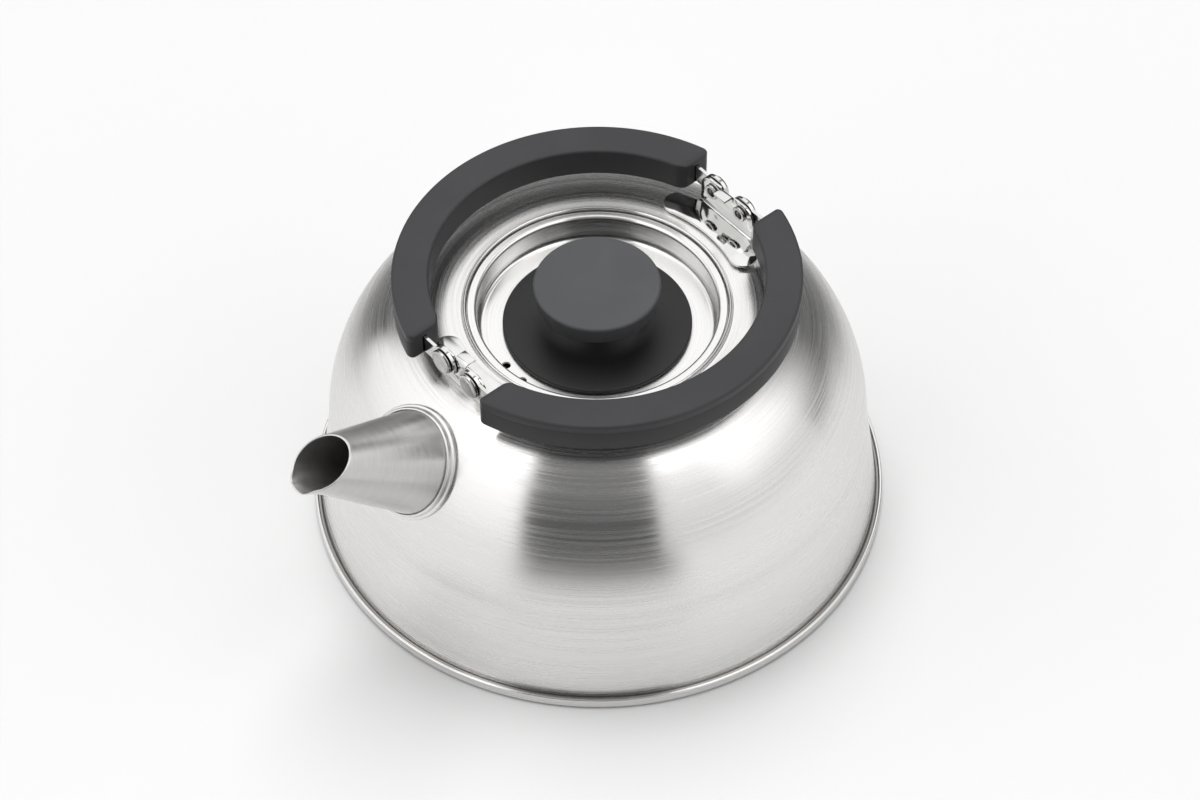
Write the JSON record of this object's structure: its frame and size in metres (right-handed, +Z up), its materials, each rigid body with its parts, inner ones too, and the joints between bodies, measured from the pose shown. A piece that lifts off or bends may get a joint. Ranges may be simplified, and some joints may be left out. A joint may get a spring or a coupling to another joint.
{
  "type": "kettle",
  "caption": "Low domed steel camping kettle with a short conical spout, a drop-in lid with a black knob and a split folding ring handle.",
  "frame": {"origin": "centre of the flat underside of the base, on the surface that the kettle stands on", "axes": "+X points along the spout, +Y to the left of the spout, +Z up out of the mouth"},
  "size_m": [0.2065, 0.1822, 0.0979],
  "materials": {
    "satin_steel": "fine circular brushing, satin",
    "spout_steel": "brushed round the spout, satin",
    "lid_steel": "fine circular brushing, bright",
    "polished_steel": "pressed sheet, polished",
    "rivet_steel": "polished",
    "grip_black": "fine moulded grain, matte",
    "guard_black": "smooth moulded, matte",
    "knob_grey": "smooth moulded, matte"
  },
  "bodies": {
    "kettle": {"body_shell": "satin_steel", "base_pan": "satin_steel", "spout_tube": "spout_steel", "spout_collar": "satin_steel", "front_bracket": "polished_steel", "rear_bracket": "polished_steel", "front_left_rivet": "rivet_steel", "front_right_rivet": "rivet_steel", "rear_left_rivet": "rivet_steel", "rear_right_rivet": "rivet_steel"},
    "left_handle": {"left_strap": "polished_steel", "left_grip": "grip_black"},
    "right_handle": {"right_strap": "polished_steel", "right_grip": "grip_black"},
    "lid": {"lid_pan": "lid_steel", "knob_base": "guard_black", "knob": "knob_grey", "knob_screw": "rivet_steel", "knob_washer": "rivet_steel"}
  },
  "joints": [
    {"name": "left_handle_fold", "type": "hinge", "parent": "kettle", "child": "left_handle", "pos_m": [0, 0.0063, 0.0919], "axis": [1, 0, 0], "range_deg": [0, 90]},
    {"name": "right_handle_fold", "type": "hinge", "parent": "kettle", "child": "right_handle", "pos_m": [0, -0.0063, 0.0919], "axis": [-1, 0, 0], "range_deg": [0, 90]},
    {"name": "lid_lift", "type": "slide", "parent": "kettle", "child": "lid", "axis": [0, 0, 1], "range_m": [0, 0.03]}
  ]
}
